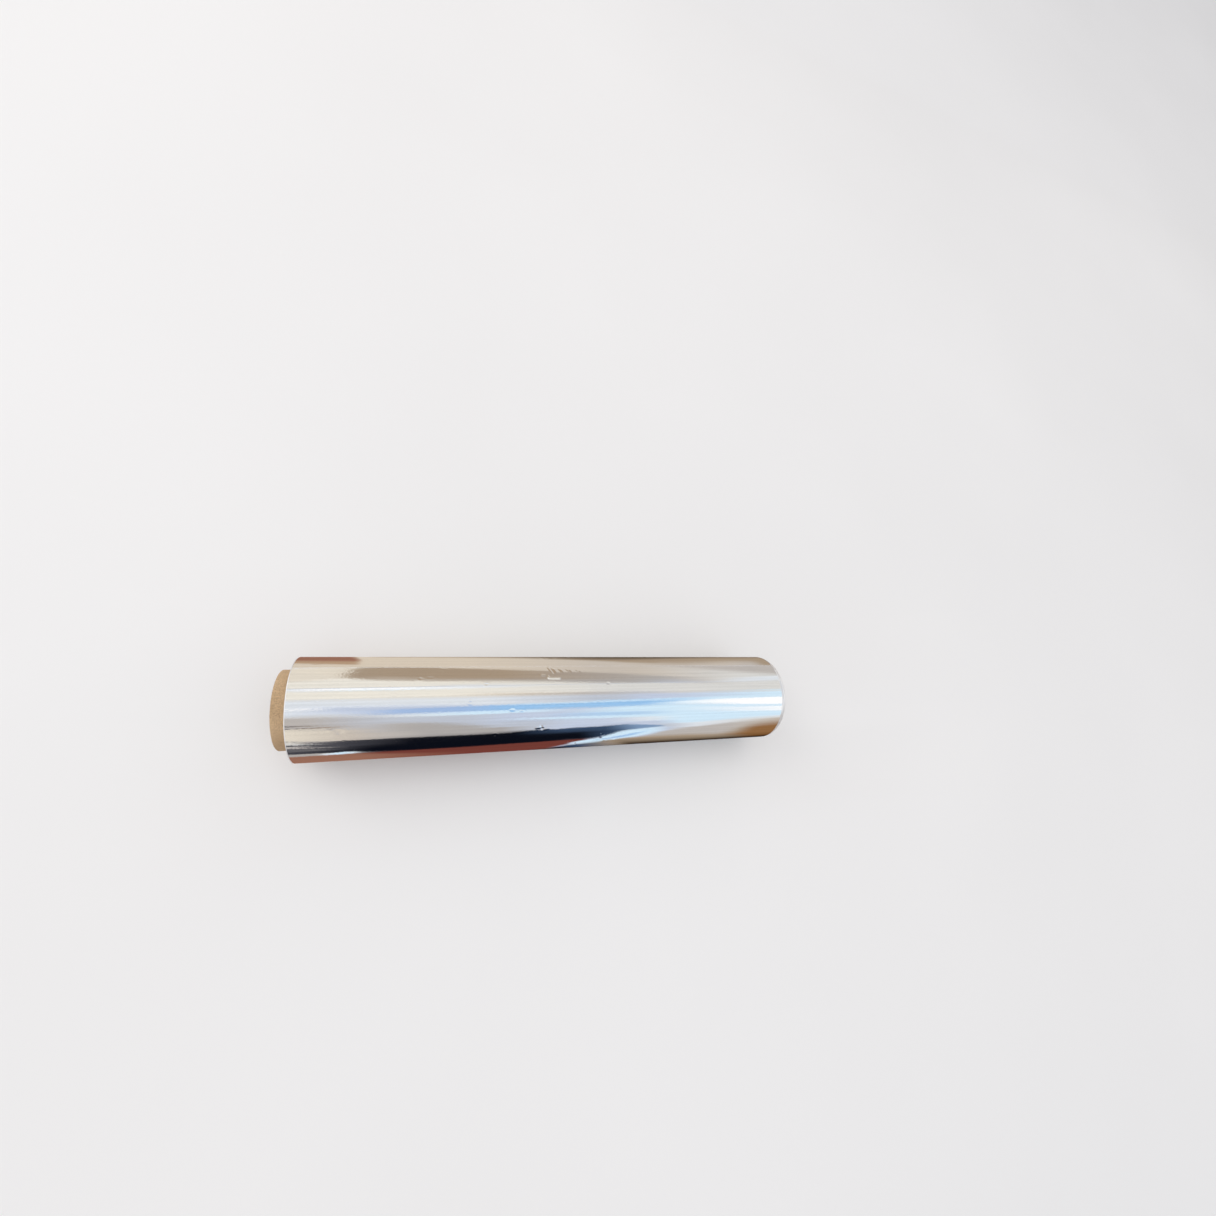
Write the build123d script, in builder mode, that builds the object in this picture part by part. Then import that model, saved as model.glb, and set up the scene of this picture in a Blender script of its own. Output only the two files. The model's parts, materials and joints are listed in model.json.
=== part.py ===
from build123d import *
from math import sqrt
import os

# A roll of kitchen foil on its paper core, lying on its side. The axis runs along X, the end with
# the longer bare stretch of core points to -X and Z is up. The origin is the middle of the small
# flat that the soft roll rests on, half way along the outer turns. All lengths are in millimetres.

# Foil winding
foil_width = 300.0
winding_depth = 7.05
rest_flat_width = 7.0

# Turns: some hundreds of real ones are drawn as these few, so that they can be seen
shown_inner_turns = 7
shown_outer_turns = 3
turn_drift = 3.2
groove_width_share = 0.3
groove_depth = 0.35

# Free edge of the last turn
free_edge_step = 0.3
free_edge_angle = 14.5

# Paper core
core_bore_diameter = 38.0
core_wall = 3.2
core_reach_left = 8.0
core_reach_right = 4.0
core_edge_chamfer = 0.4
mouth_chamfer = 0.6

# Overrun of the cuts
overrun = 1.0

# Worked out from the sizes above
core_radius = core_bore_diameter / 2 + core_wall
roll_radius = core_radius + winding_depth
turn_pitch = winding_depth / (shown_inner_turns + shown_outer_turns)
groove_width = groove_width_share * turn_pitch
first_outer_radius = roll_radius - free_edge_step
axis_height = sqrt(first_outer_radius**2 - (rest_flat_width / 2) ** 2)
left_end = -foil_width / 2
right_end = foil_width / 2
core_left_end = left_end - core_reach_left
core_length = core_reach_left + foil_width + core_reach_right


def section_plane(x):
    """A plane across the roll's axis at x, facing +X, with its own Y axis up."""
    return Plane(origin=(x, 0, axis_height), x_dir=(0, 1, 0), z_dir=(1, 0, 0))


def winding_plane(x):
    """The section plane at x, turned until its own Y axis points at the free edge."""
    return section_plane(x).rotated((-free_edge_angle, 0, 0))


def spiral(first_radius, pitch, turns):
    """Half circles about two centres, so that the radius grows by the pitch in each turn."""
    arcs = []
    for half_turn in range(2 * turns):
        centre_side = 1 if half_turn % 2 else -1
        centre = (0, centre_side * pitch / 4)
        radius = first_radius + pitch / 4 + half_turn * pitch / 2
        arcs.append(CenterArc(centre, radius, 90 + 180 * half_turn, 180))
    return arcs


def turn_groove(x, first_radius, turns):
    """The sketch of one spiral groove between neighbouring turns, on the end face at x."""
    with BuildSketch(winding_plane(x)) as groove:
        with BuildLine():
            inner_wall = spiral(first_radius, turn_pitch, turns)
            outer_wall = spiral(first_radius + groove_width, turn_pitch, turns)
            Line(inner_wall[0] @ 0, outer_wall[0] @ 0)
            Line(inner_wall[-1] @ 1, outer_wall[-1] @ 1)
        make_face()
    return groove.sketch


# Paper core: a plain tube with square-cut ends
with BuildPart() as core:
    with BuildSketch(section_plane(core_left_end)):
        Circle(core_radius)
        Circle(core_bore_diameter / 2, mode=Mode.SUBTRACT)
    extrude(amount=core_length)
    rims = core.edges().filter_by(GeomType.CIRCLE).sort_by(SortBy.RADIUS)
    chamfer(rims[:2], mouth_chamfer)
    outer_rims = core.edges().filter_by(GeomType.CIRCLE).sort_by(SortBy.RADIUS)[-2:]
    chamfer(outer_rims, core_edge_chamfer)

# Foil winding: every turn from the core to the free edge, in one solid
with BuildPart() as foil:
    # Outer turns, whose outline steps up by one shown turn at the free edge
    with BuildSketch(winding_plane(left_end)):
        with BuildLine():
            last_turn = spiral(first_outer_radius, free_edge_step, 1)
            Line(last_turn[-1] @ 1, last_turn[0] @ 0)
        make_face()
    extrude(amount=foil_width)

    # The small flat under the roll's own weight
    with BuildSketch(Plane.XY):
        Rectangle(foil_width + 2 * overrun, 2 * roll_radius)
    extrude(amount=-roll_radius, mode=Mode.SUBTRACT)

    # Towards the core each of the outer turns lies further along: proud at the right end,
    # sunk by as much at the left
    for step in range(1, shown_outer_turns + 1):
        step_radius = roll_radius - step * turn_pitch
        step_drift = turn_drift * step / shown_outer_turns
        with BuildSketch(section_plane(right_end)):
            Circle(step_radius)
        extrude(amount=step_drift)
        with BuildSketch(section_plane(left_end - overrun)):
            Circle(step_radius)
        extrude(amount=overrun + step_drift, mode=Mode.SUBTRACT)

    # The hole that the core fills
    with BuildSketch(section_plane(left_end - overrun)):
        Circle(core_radius)
    extrude(amount=foil_width + turn_drift + 2 * overrun, mode=Mode.SUBTRACT)

    # Spiral line of the inner turns on each end face
    groove_start = core_radius + turn_pitch / 2
    for face_x, depth in ((left_end, groove_depth), (right_end, -groove_depth)):
        inner_turns = turn_groove(face_x + turn_drift, groove_start, shown_inner_turns - 1)
        extrude(inner_turns, amount=depth, mode=Mode.SUBTRACT)

core.part.label = "core"
foil.part.label = "foil"
os.makedirs("parts", exist_ok=True)
export_step(core.part, "parts/core.step")
export_step(foil.part, "parts/foil.step")
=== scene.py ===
import bpy
import json
from collections import namedtuple
from math import atan2, cos, degrees, pi, radians, sin, sqrt

import numpy as np
from mathutils import Matrix, Vector


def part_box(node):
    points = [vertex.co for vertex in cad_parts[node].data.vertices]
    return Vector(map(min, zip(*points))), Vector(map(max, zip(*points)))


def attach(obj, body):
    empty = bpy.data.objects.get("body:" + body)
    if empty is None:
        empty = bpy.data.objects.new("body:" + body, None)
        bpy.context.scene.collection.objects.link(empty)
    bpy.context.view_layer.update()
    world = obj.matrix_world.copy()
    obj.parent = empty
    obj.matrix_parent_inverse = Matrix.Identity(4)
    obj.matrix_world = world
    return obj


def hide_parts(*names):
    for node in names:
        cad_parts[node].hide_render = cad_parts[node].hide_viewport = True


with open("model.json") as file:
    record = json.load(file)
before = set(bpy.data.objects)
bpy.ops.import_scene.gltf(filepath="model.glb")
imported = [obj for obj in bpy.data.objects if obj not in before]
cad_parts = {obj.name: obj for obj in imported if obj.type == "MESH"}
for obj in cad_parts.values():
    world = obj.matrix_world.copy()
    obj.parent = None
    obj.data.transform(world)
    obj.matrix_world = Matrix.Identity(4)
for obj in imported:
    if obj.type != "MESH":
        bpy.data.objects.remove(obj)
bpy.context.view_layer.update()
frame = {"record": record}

# Sizes of the roll in millimetres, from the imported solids
MM = 0.001
foil_low, foil_high = (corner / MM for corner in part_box("foil"))
core_low, core_high = (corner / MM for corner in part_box("core"))
core_radius = (core_high.z - core_low.z) / 2
axis_height = (core_high.z + core_low.z) / 2
bore_radius = frame["record"]["mounts"][0]["dims"]["r_mm"]
left_end = foil_low.x
right_end = -left_end
turn_drift = foil_high.x - right_end

# The winding. Angles are in degrees about the roll's axis, from straight up towards the back (+Y)
free_edge_angle = 14.5
roll_radius = 29.4
turn_pitch = 0.2
telescoped_depth = 1.6
first_turn_gap = 0.05
wound_turns = int((roll_radius - core_radius - first_turn_gap) / turn_pitch)
drift_bend = 0.8
turn_ripple = 0.07
turn_seed = 7
rippled_depth = 0.6
turn_lines = 3.2
turn_wander = 1.6
edge_rounding = 0.35
edge_fall = 0.4 * edge_rounding
worn_rim = 0.45

# The free edge stands off the turn below it near the left end: how high, how far round, and where
edge_lift_height = 0.10
edge_lift_share = 0.0035
edge_lift_start = -60.0
edge_lift_run = 50.0


def smooth(value, low, high):
    """0 at low and below, 1 at high and above, with a soft run between them."""
    t = np.clip((value - low) / (high - low), 0.0, 1.0)
    return t * t * (3 - 2 * t)


def graded(*runs):
    """Ascending stations. Each run is (start, end, spacing), and each starts where the last ended."""
    stations = [runs[0][0]]
    for start, end, spacing in runs:
        count = max(1, round((end - start) / spacing))
        stations.extend(start + (end - start) * (k + 1) / count for k in range(count))
    return np.array(stations)


def turned(angle_from, angle_to):
    """Difference of two angles in degrees, from -180 to 180."""
    return (angle_from - angle_to + 180) % 360 - 180


def srgb(red, green, blue):
    """A display colour of 0 to 255 as linear light, with alpha."""
    share = np.array([red, green, blue]) / 255
    linear = np.where(share <= 0.04045, share / 12.92, ((share + 0.055) / 1.055) ** 2.4)
    return (*linear, 1.0)


def new_piece(name, vertices, faces):
    """A smooth-shaded mesh object from vertices in millimetres."""
    mesh = bpy.data.meshes.new(name)
    mesh.from_pydata((np.asarray(vertices) * MM).tolist(), [], faces)
    mesh.update()
    mesh.shade_smooth()
    piece = bpy.data.objects.new(name, mesh)
    bpy.context.scene.collection.objects.link(piece)
    return piece


# Marks on the foil's outer face

# Each dent: along the axis, angle, half length and half width in mm, depth in mm
dents = (
    (-85.7, 24.4, 1.2, 1.0, 0.07),
    (-80.5, 25.6, 2.2, 0.8, 0.05),
    (-73.5, 35.8, 2.0, 0.9, 0.06),
    (-59.0, -4.0, 0.9, 0.8, 0.13),
    (-50.0, 16.2, 1.5, 0.8, 0.06),
    (-47.3, 32.2, 0.6, 1.2, 0.06),
    (-35.4, -14.0, 1.6, 1.0, 0.06),
    (-30.0, -15.5, 1.4, 0.7, 0.05),
    (23.8, 14.9, 1.2, 0.9, 0.06),
    (-44.6, -44.0, 0.8, 1.2, 0.10),
    (-32.0, -50.7, 0.8, 1.0, 0.12),
    (-23.8, -51.0, 0.8, 0.9, 0.10),
    (-58.0, -54.8, 1.0, 0.9, 0.12),
    (20.7, -50.4, 1.0, 0.9, 0.10),
    (-99.0, 7.3, 1.4, 0.9, 0.06),
    (-106.0, 31.0, 1.2, 0.9, 0.05),
    (-126.0, -31.0, 2.2, 1.6, 0.03),
    (-122.5, -37.0, 1.8, 1.4, 0.03),
    (-139.0, 49.0, 1.6, 1.0, 0.06),
    (-8.0, 68.0, 2.6, 1.8, 0.16),
    (44.0, -61.0, 1.2, 1.0, 0.12),
    (31.0, -64.5, 1.0, 0.9, 0.10),
    (96.0, 31.0, 1.6, 1.0, 0.05),
    (61.0, -12.0, 1.2, 0.7, 0.04),
    (118.0, -22.0, 1.6, 0.8, 0.04),
)

# Each crease: start and end as (along the axis, angle), half width and height in mm
creases = (
    ((-13.6, 23.0), (-5.8, 22.6), 0.50, 0.20),
    ((-13.2, 22.6), (-13.6, 27.0), 0.50, 0.18),
    ((-18.4, 27.4), (-14.6, 26.4), 0.60, 0.12),
    ((-13.0, 41.0), (-10.6, 31.0), 0.45, 0.13),
    ((-11.2, 37.5), (-9.4, 29.5), 0.45, -0.14),
    ((-9.2, 37.5), (-7.8, 30.5), 0.45, 0.12),
    ((-7.0, 36.5), (-5.6, 31.5), 0.45, -0.10),
    ((-5.0, 36.5), (-3.4, 31.0), 0.45, 0.11),
    ((-2.4, 36.0), (-0.8, 32.0), 0.45, -0.08),
    ((0.4, 36.0), (2.2, 31.0), 0.45, 0.10),
    ((3.6, 35.0), (5.0, 32.0), 0.45, -0.06),
    ((6.6, 34.5), (8.0, 31.5), 0.50, 0.05),
    ((-16.5, 72.0), (-12.5, 60.0), 0.60, 0.12),
    ((-21.8, -36.4), (-16.0, -35.2), 0.60, 0.16),
    ((-18.6, -32.6), (-17.0, -38.8), 0.60, -0.20),
    ((-16.8, -38.8), (-13.4, -37.8), 0.55, 0.16),
    ((21.0, -57.0), (23.4, -66.0), 0.55, 0.12),
    ((5.6, -66.0), (6.4, -73.0), 0.55, 0.10),
    ((-128.6, -28.0), (-126.4, -38.0), 0.60, 0.07),
    ((-124.6, -28.6), (-122.6, -39.0), 0.60, -0.07),
)

# Ripples along the axis near the left end: angle, half width in degrees, height in mm and reach in mm
end_ripples = (
    (-42.6, 1.0, -0.012, 38.0),
    (-45.4, 0.9, 0.014, 31.0),
    (-48.0, 0.9, -0.014, 42.0),
    (-50.6, 0.9, 0.014, 34.0),
    (-53.4, 1.0, -0.012, 40.0),
    (-24.2, 1.0, -0.035, 30.0),
    (-5.8, 0.8, 0.022, 18.0),
    (38.0, 2.2, 0.022, 20.0),
    (108.0, 2.4, 0.030, 30.0),
    (163.0, 2.0, -0.030, 26.0),
    (-118.0, 2.2, 0.026, 22.0),
)

# A dent's form against its depth: how fast it fills up, and its raised rim
dent_slope = 1.6
dent_rim_reach = 1.6
dent_rim_height = 0.45

# Slow waves round the winding: height in mm, how many, their phase, and its change along the roll
slow_rows = (
    (0.030, 2, 0.6, 0.3),
    (0.022, 3, -1.1, 0.9),
    (0.012, 5, 2.0, -1.4),
)

# Fine rolling streaks: how many, how many waves round the roll, how steep, and how they drift along it
streak_count = 26
streak_waves = (14, 88)
streak_slope = 0.0027
streak_drift = 5.0
streak_seed = 5


def crease_relief(x, angle):
    """Sum of the folded ridges and furrows, in mm."""
    relief = np.zeros_like(x)
    arc = roll_radius * pi / 180
    for (x0, a0), (x1, a1), width, height in creases:
        run = np.array([x1 - x0, (a1 - a0) * arc])
        length = np.hypot(*run)
        run = run / length
        dx = x - x0
        da = turned(angle, a0) * arc
        along = dx * run[0] + da * run[1]
        across = dx * run[1] - da * run[0]
        taper = smooth(along, -width, 2 * width) * smooth(length - along, -width, 2 * width)
        relief += height * taper * np.exp(-((across / width) ** 2))
    return relief


def dent_relief(x, angle):
    """Sum of the small dents, each with a slight raised rim, in mm."""
    relief = np.zeros_like(x)
    arc = roll_radius * pi / 180
    for dent_x, dent_angle, half_length, half_width, depth in dents:
        across = turned(angle, dent_angle) * arc / half_width
        reach = ((x - dent_x) / half_length) ** 2 + across**2
        rim = dent_rim_height * np.exp(-((reach - dent_rim_reach) ** 2))
        relief += depth * (rim - np.exp(-dent_slope * reach))
    return relief


def slow_waves(x, angle):
    """The winding's long shallow waves, in mm."""
    turn = np.radians(angle)
    along = x / right_end
    return sum(
        height * np.cos(waves * turn + phase + drift * along) for height, waves, phase, drift in slow_rows
    )


def winding_relief(x, angle):
    """How far the winding is from round, in mm: slow waves, rolling streaks and the ripples at the left."""
    turn = np.radians(angle)
    along = x / right_end
    relief = slow_waves(x, angle)
    pick = np.random.default_rng(streak_seed)
    for waves in pick.integers(*streak_waves, streak_count):
        height = streak_slope * roll_radius / waves
        drift, phase, swell, swell_phase = pick.uniform(-1, 1, 4) * (streak_drift, pi, streak_drift, pi)
        strength = 0.55 + 0.45 * np.cos(swell * along + swell_phase)
        relief += height * strength * np.cos(waves * turn + phase + drift * along)
    for ripple_angle, half_width, height, reach in end_ripples:
        fade = smooth(left_end + reach - x, 0, reach)
        relief += height * fade * np.exp(-((turned(angle, ripple_angle) / half_width) ** 2))
    return relief


def outer_relief(x, angle):
    """How far the outer face is from round, in mm, with its marks and its rounded rims."""
    relief = winding_relief(x, angle) + crease_relief(x, angle) + dent_relief(x, angle)
    from_edge = np.minimum(x - left_end, right_end - x)
    past_round = 1 - np.clip(from_edge / edge_rounding, 0, 1)
    return relief - edge_fall * (1 - np.sqrt(1 - past_round**2))


def flattened(y, z):
    """Presses the underside down to the flat that the roll rests on."""
    return y, np.maximum(z, -axis_height)


# Stations of the outer face as (start, end, spacing), closest at its rims and where its marks lie.
# Those round the roll go down over the front from the free edge, and back up behind
foil_x_runs = (
    (left_end, left_end + worn_rim, worn_rim / 4),
    (left_end + worn_rim, -118.0, 1.5),
    (-118.0, -96.0, 1.1),
    (-96.0, -22.0, 0.75),
    (-22.0, 9.0, 0.32),
    (9.0, 30.0, 0.75),
    (30.0, right_end - 1.0, 4.0),
    (right_end - 1.0, right_end, 0.2),
)
foil_turn_runs = (
    (0.0, 1.4, 0.35),
    (1.4, 84.0, 0.72),
    (84.0, 325.0, 3.1),
    (325.0, 358.6, 0.72),
    (358.6, 360.0, 0.35),
)


def outer_face(x_stations, turn_stations):
    """Places on the last turn, from under the free edge once round to its top."""
    grid_x, grid_share = np.meshgrid(x_stations, turn_stations / 360.0)
    grid_angle = free_edge_angle - grid_share * 360.0
    lift = edge_lift_height * smooth(edge_lift_start - grid_x, 0, edge_lift_run)
    spiral = turn_pitch * (grid_share - 1.0)
    edge_lift = lift * np.exp(-(((1.0 - grid_share) / edge_lift_share) ** 2))
    radius = roll_radius + spiral + edge_lift + outer_relief(grid_x, grid_angle)
    y = radius * np.sin(np.radians(grid_angle))
    z = radius * np.cos(np.radians(grid_angle))
    y, z = flattened(y, z)
    return list(np.stack([grid_x, y, z + axis_height], -1).reshape(-1, 3))


def inner_turns(rim_x, turn_stations, jitter):
    """Places along the spiral of the inner turns on an end face, from the core outwards."""
    steps = len(turn_stations) - 1
    share = turn_stations / 360.0
    angle = free_edge_angle - turn_stations
    places = []
    for m in range((wound_turns - 1) * steps):
        turn, row = divmod(m, steps)
        inward = (wound_turns - (turn + share[row])) * turn_pitch
        r = roll_radius - inward
        drift = turn_drift * min(1.0, inward / telescoped_depth) ** drift_bend
        ripple = jitter[turn] * (1 - share[row]) + jitter[turn + 1] * share[row]
        settle = turn_ripple * min(1.0, inward / rippled_depth)
        a = radians(angle[row])
        y, z = flattened(r * sin(a), r * cos(a))
        places.append((rim_x + drift + ripple * settle, y, z + axis_height))
    return places


def keep_lay(mesh, vertices):
    """Keeps each vertex's place in the winding, for lines that follow the turns: across, then round."""
    across = np.asarray(vertices)[:, 1:] - (0.0, axis_height)
    from_axis = np.hypot(*across.T)
    lay = np.column_stack([turn_lines * from_axis, turn_wander * across / from_axis[:, None]])
    mesh.attributes.new("lay", "FLOAT_VECTOR", "POINT").data.foreach_set("vector", lay.reshape(-1))


def mark_sharp(mesh, seams):
    """Makes the edges sharp that have both ends in one of the sets of vertices."""
    marks = np.zeros(len(mesh.edges), bool)
    for edge in mesh.edges:
        a, b = edge.vertices
        marks[edge.index] = any(a in seam and b in seam for seam in seams)
    mesh.attributes.new("sharp_edge", "BOOLEAN", "EDGE").data.foreach_set("value", marks)


def make_foil():
    """The whole winding as one closed skin: outer face, free edge, both end faces and the hole."""
    x_stations = graded(*foil_x_runs)
    turn_stations = graded(*foil_turn_runs)
    columns = len(x_stations)
    steps = len(turn_stations) - 1
    vertices = outer_face(x_stations, turn_stations)

    def outer(row, column):
        return row * columns + column

    faces = [
        (outer(r, c), outer(r, c + 1), outer(r + 1, c + 1), outer(r + 1, c))
        for r in range(steps)
        for c in range(columns - 1)
    ]
    outer_faces = len(faces)
    # Step of the free edge, from the top of the last turn down to the turn below it
    faces += [
        (outer(steps, c), outer(steps, c + 1), outer(0, c + 1), outer(0, c)) for c in range(columns - 1)
    ]

    # End faces: one spiral line of foil edge on each, and a ring round the hole
    jitter = np.random.default_rng(turn_seed).uniform(-1, 1, wound_turns + 2)
    bore_rings = []
    for side, rim_x, column in ((-1, left_end, 0), (1, right_end, columns - 1)):
        start = len(vertices)
        spiral = inner_turns(rim_x, turn_stations, jitter)
        spiral_count = len(spiral)
        vertices += spiral

        def edge_vertex(m, start=start, spiral_count=spiral_count, column=column):
            return start + m if m < spiral_count else outer(m - spiral_count, column)

        for m in range(spiral_count):
            corners = [edge_vertex(k) for k in (m, m + 1, m + 1 + steps, m + steps)]
            faces.append(corners if side > 0 else corners[::-1])
        ring = [len(vertices) + row for row in range(steps)]
        for a in np.radians(free_edge_angle - turn_stations[:-1]):
            vertices.append((rim_x + turn_drift, core_radius * sin(a), core_radius * cos(a) + axis_height))
        for row in range(steps):
            corners = [ring[row], ring[(row + 1) % steps], edge_vertex(row + 1), edge_vertex(row)]
            faces.append(corners if side > 0 else corners[::-1])
        closing = [ring[0], edge_vertex(steps), edge_vertex(0)]
        faces.append(closing[::-1] if side > 0 else closing)
        bore_rings.append(ring)
    left_ring, right_ring = bore_rings
    for row in range(steps):
        after = (row + 1) % steps
        faces.append((left_ring[row], left_ring[after], right_ring[after], right_ring[row]))

    piece = new_piece("foil_winding", vertices, faces)
    # The worn rim, the free edge and the end faces take the second material
    edge_on = np.arange(len(faces)) >= outer_faces
    worn_columns = x_stations[:-1] < left_end + worn_rim - 0.01
    edge_on[:outer_faces] = np.tile(worn_columns, steps)
    piece.data.polygons.foreach_set("material_index", edge_on.astype(np.int32))
    keep_lay(piece.data, vertices)
    step_rows = {outer(row, c) for row in (0, steps) for c in range(columns)}
    rims = {outer(r, c) for r in range(steps + 1) for c in (0, columns - 1)}
    mark_sharp(piece.data, (step_rows, rims))
    return piece


# The paper core
core_plies = 5
seam_lead = 58.0
seam_depth = 0.10
seam_half_width = 0.45
outer_seam_angle = 210.0
bore_seam_angle = 40.0
core_rounding = 0.35
core_segments = 160
board_fuzz = 0.02
fuzz_seed = 11

# A glue line on a cut end: how deep, and its profile as (place in plies, how much is glue)
glue_line_depth = 0.08
glue_line_profile = ((-0.17, 0.0), (-0.07, 1.0), (0.07, 1.0), (0.17, 0.0))


def seam_relief(x, angle, phase):
    """Depth of the winding seam of the paper strip, in mm, at a place on the tube's wall."""
    from_seam = turned(angle, phase + 360.0 * x / seam_lead) * core_radius * pi / 180
    across = from_seam * cos(np.arctan2(2 * pi * core_radius, seam_lead))
    return -seam_depth * np.exp(-((across / seam_half_width) ** 2))


def make_core():
    """A tube of wound board: outer wall, cut ends with their plies, and the bore."""
    rounded = core_rounding
    x_low, x_high = core_low.x, core_high.x
    steps = core_segments
    angle = np.arange(steps) * 360.0 / steps
    noise = np.random.default_rng(fuzz_seed)
    ply = (core_radius - bore_radius) / core_plies

    def cut_end(x, side):
        """Profile of a cut end from the bore out: its rounded rims, and a glue line between two plies."""
        rows = [(x - side * 0.7 * rounded, bore_radius + 0.3 * rounded, "end", 0.0)]
        rows.append((x, bore_radius + rounded, "end", 0.0))
        for k in range(1, core_plies):
            for across, glue in glue_line_profile:
                cut_x = x - side * glue_line_depth * glue
                rows.append((cut_x, bore_radius + ply * (k + across), "end", glue))
        rows.append((x, core_radius - rounded, "end", 0.0))
        rows.append((x - side * 0.7 * rounded, core_radius - 0.3 * rounded, "end", 0.0))
        return rows

    # From the left mouth out over the end, along the outer wall and back through the bore
    profile = [(x_low + rounded, bore_radius, "bore", 0.0)]
    profile += cut_end(x_low, -1)
    bare_end = left_end + turn_drift + 1.0
    wall_stations = graded(
        (x_low + rounded, bare_end, 0.6), (bare_end, right_end, 60.0), (right_end, x_high - rounded, 0.6)
    )
    profile += [(x, core_radius, "outside", 0.0) for x in wall_stations]
    profile += cut_end(x_high, 1)[::-1]
    bore_stations = graded((x_low + rounded, x_high - rounded, 1.5))
    profile += [(x, bore_radius, "bore", 0.0) for x in bore_stations[:0:-1]]

    vertices = []
    for x, r, wall, _ in profile:
        relief = np.zeros(steps)
        if wall == "outside":
            relief = seam_relief(x, angle, outer_seam_angle) * (x < left_end or x > right_end)
        elif wall == "bore":
            relief = -seam_relief(x, angle, bore_seam_angle)
        fuzz = noise.normal(0, board_fuzz if wall == "end" else 0.0, steps)
        a = np.radians(angle)
        radius = r + relief
        vertices.extend(np.stack([x + fuzz, radius * np.sin(a), radius * np.cos(a) + axis_height], -1))
    rings = len(profile)
    faces = []
    for k in range(rings):
        after = (k + 1) % rings
        for s in range(steps):
            t = (s + 1) % steps
            faces.append((k * steps + s, after * steps + s, after * steps + t, k * steps + t))
    piece = new_piece("paper_core", vertices, faces)
    glue = np.repeat([row[3] for row in profile], steps)
    piece.data.attributes.new("glue", "FLOAT", "POINT").data.foreach_set("value", glue)
    return piece


# Materials


def new_material(name):
    """A material with one principled shader, its node tree and that shader."""
    material = bpy.data.materials.new(name)
    material.use_nodes = True
    nodes = material.node_tree.nodes
    nodes.clear()
    output = nodes.new("ShaderNodeOutputMaterial")
    shader = nodes.new("ShaderNodeBsdfPrincipled")
    material.node_tree.links.new(shader.outputs[0], output.inputs[0])
    return material, material.node_tree, shader


def add_node(tree, kind, settings=(), **inputs):
    """A node with its properties set and its inputs either set or linked."""
    node = tree.nodes.new(kind)
    for key, value in dict(settings).items():
        setattr(node, key, value)
    for key, value in inputs.items():
        if isinstance(value, bpy.types.NodeSocket):
            tree.links.new(value, node.inputs[key])
        else:
            node.inputs[key].default_value = value
    return node


def stretched_noise(tree, scale_xyz, detail=3.0, roughness=0.5):
    """Noise on object coordinates, with its own scale along each axis."""
    place = add_node(tree, "ShaderNodeTexCoord").outputs["Object"]
    mapping = add_node(tree, "ShaderNodeMapping", Vector=place, Scale=scale_xyz)
    return add_node(
        tree, "ShaderNodeTexNoise", Vector=mapping.outputs[0], Scale=1.0, Detail=detail, Roughness=roughness
    ).outputs["Fac"]


def ramp(tree, value, *stops):
    """A colour ramp of (position, colour) stops."""
    node = add_node(tree, "ShaderNodeValToRGB", Fac=value)
    elements = node.color_ramp.elements
    while len(elements) < len(stops):
        elements.new(0.5)
    for element, (position, colour) in zip(elements, stops):
        element.position = position
        element.color = colour
    return node.outputs["Color"]


def grey(value):
    """A grey as linear light, with alpha."""
    return (value, value, value, 1.0)


def foil_material():
    """Bright rolled foil: a mirror with faint rolling lines, blurred more along the roll than round it."""
    material, tree, shader = new_material("bright_foil")
    shader.inputs["Metallic"].default_value = 1.0
    shader.inputs["Anisotropic"].default_value = 0.4
    shader.inputs["Anisotropic Rotation"].default_value = 0.25
    tangent = add_node(tree, "ShaderNodeTangent", {"direction_type": "RADIAL", "axis": "X"})
    tree.links.new(tangent.outputs[0], shader.inputs["Tangent"])
    cloud = stretched_noise(tree, (16.0, 60.0, 60.0))
    tint = ramp(tree, cloud, (0.3, srgb(240, 240, 242)), (0.7, srgb(246, 245, 244)))
    tree.links.new(tint, shader.inputs["Base Color"])
    tree.links.new(ramp(tree, cloud, (0.35, grey(0.06)), (0.7, grey(0.10))), shader.inputs["Roughness"])
    streaks = stretched_noise(tree, (9.0, 420.0, 420.0), detail=2.0)
    grain = stretched_noise(tree, (900.0, 1500.0, 1500.0), detail=1.0)
    streak_bump = add_node(tree, "ShaderNodeBump", Strength=0.4, Distance=0.00006, Height=streaks)
    grain_bump = add_node(
        tree, "ShaderNodeBump", Strength=0.35, Distance=0.00005, Height=grain, Normal=streak_bump.outputs[0]
    )
    tree.links.new(grain_bump.outputs[0], shader.inputs["Normal"])
    return material


def foil_edge_material():
    """The cut edges of the turns, seen on end: paler and duller than the face of the foil."""
    material, tree, shader = new_material("foil_edges")
    shader.inputs["Metallic"].default_value = 0.4
    lay = add_node(tree, "ShaderNodeAttribute", {"attribute_name": "lay"}).outputs["Vector"]
    turns = add_node(
        tree, "ShaderNodeTexNoise", Vector=lay, Scale=1.0, Detail=3.0, Roughness=0.6
    ).outputs["Fac"]
    dull, pale, bright = srgb(196, 198, 202), srgb(238, 238, 239), srgb(252, 252, 252)
    tint = ramp(tree, turns, (0.34, dull), (0.5, pale), (0.64, bright))
    tree.links.new(tint, shader.inputs["Base Color"])
    tree.links.new(ramp(tree, turns, (0.3, grey(0.45)), (0.7, grey(0.3))), shader.inputs["Roughness"])
    bump = add_node(tree, "ShaderNodeBump", Strength=0.5, Distance=0.00008, Height=turns)
    tree.links.new(bump.outputs[0], shader.inputs["Normal"])
    return material


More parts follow.
